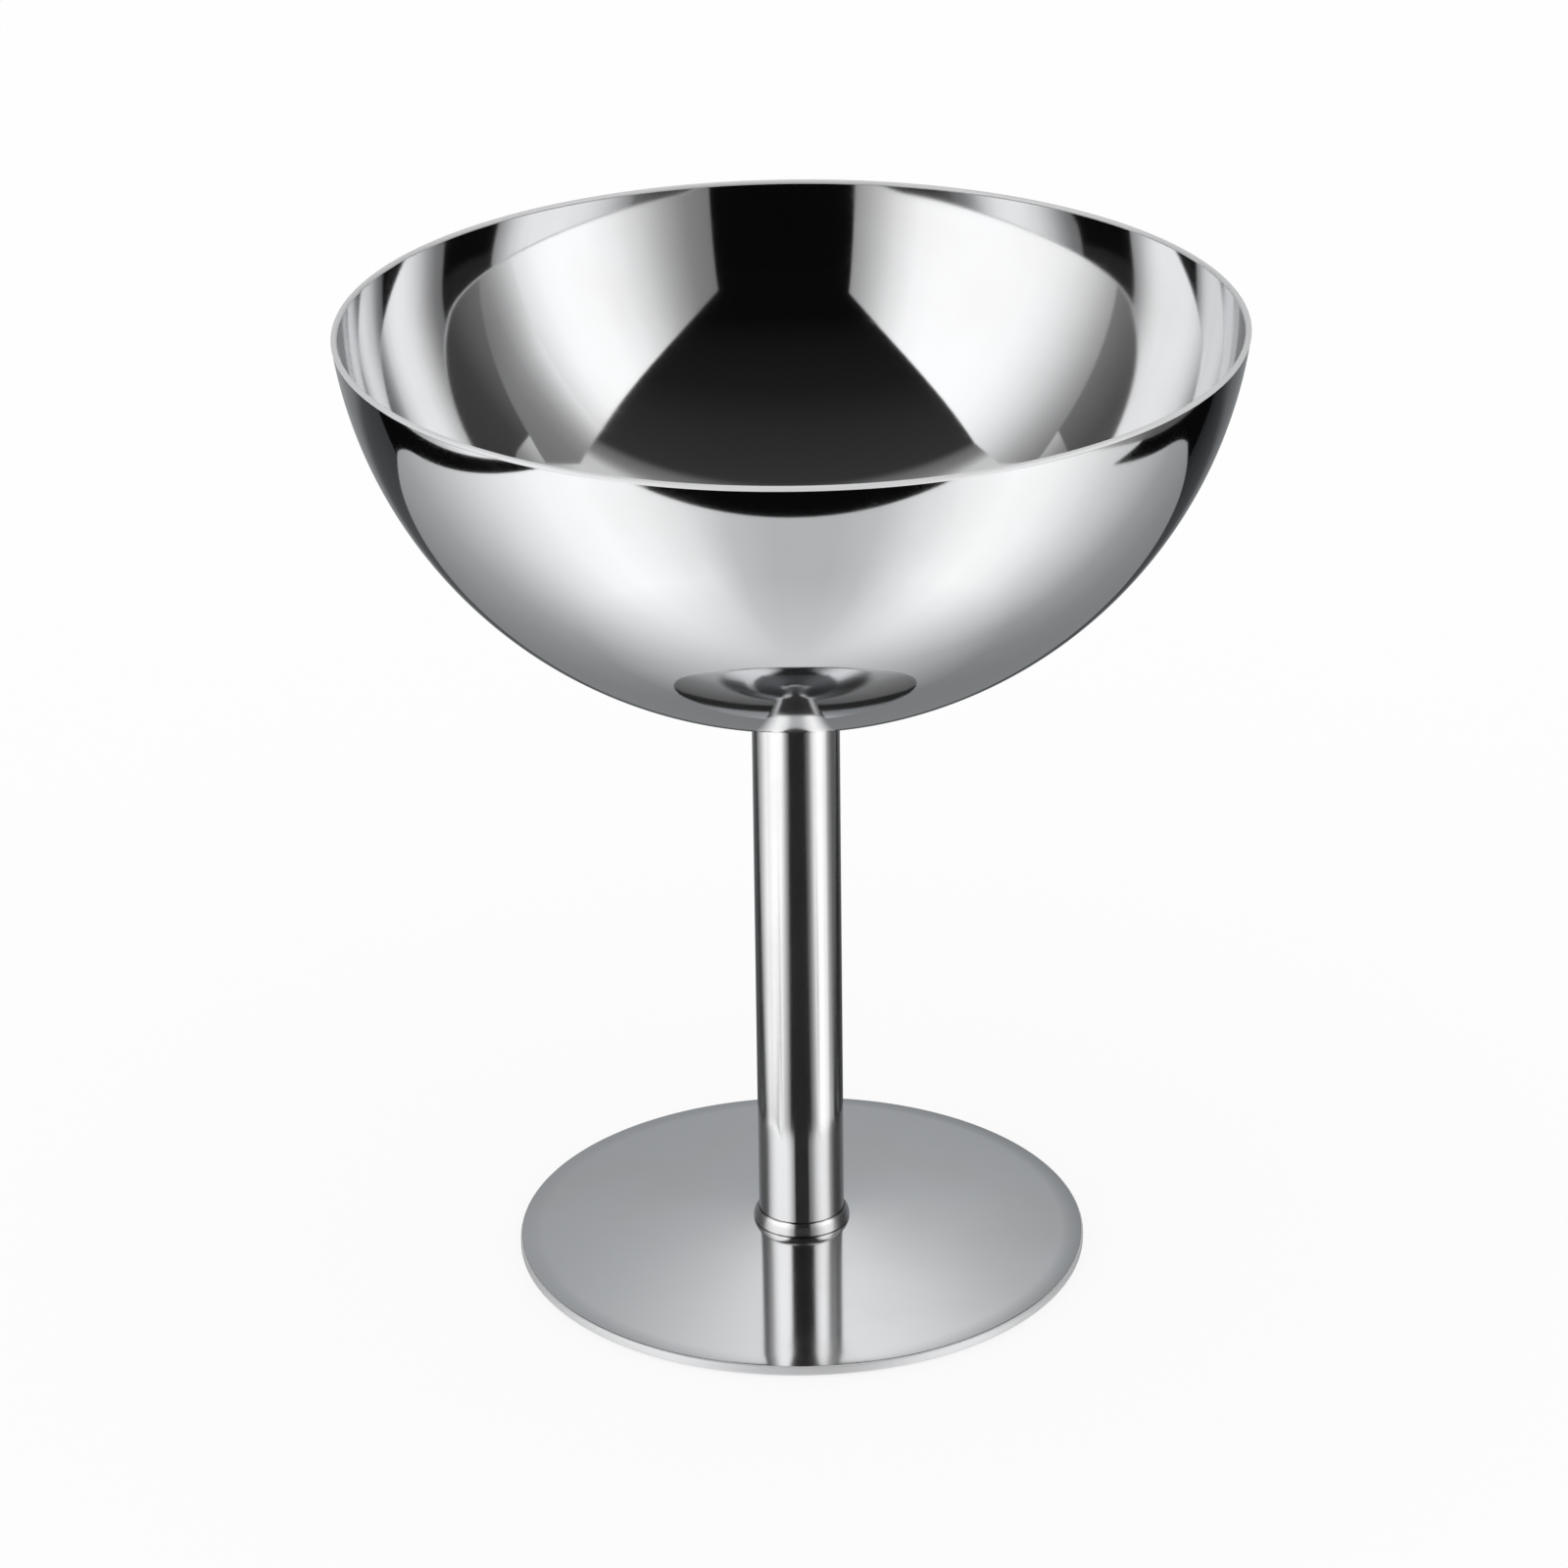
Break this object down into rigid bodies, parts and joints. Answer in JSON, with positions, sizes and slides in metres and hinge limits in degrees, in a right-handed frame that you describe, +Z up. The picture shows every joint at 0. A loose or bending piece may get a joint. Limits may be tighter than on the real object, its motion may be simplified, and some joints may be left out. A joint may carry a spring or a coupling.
{
  "type": "stemmed dessert cup",
  "caption": "Stemmed dessert cup: round sheet-steel bowl with a rounded lip, on a straight tube with a foot ring and a shallow cone-shaped base disc.",
  "frame": {"origin": "middle of the base disc's underside, at the height of the table that the cup stands on", "axes": "+Z up along the stem's axis; X and Y are free, because the cup is round about Z"},
  "size_m": [0.1, 0.1, 0.113],
  "materials": {
    "bowl_steel": "mirror polish",
    "stem_steel": "mirror polish",
    "base_steel": "bright polish with a faint haze"
  },
  "bodies": {
    "root": {"bowl": "bowl_steel", "stem_tube": "stem_steel", "foot_ring": "stem_steel", "base_disc": "base_steel"}
  },
  "joints": []
}
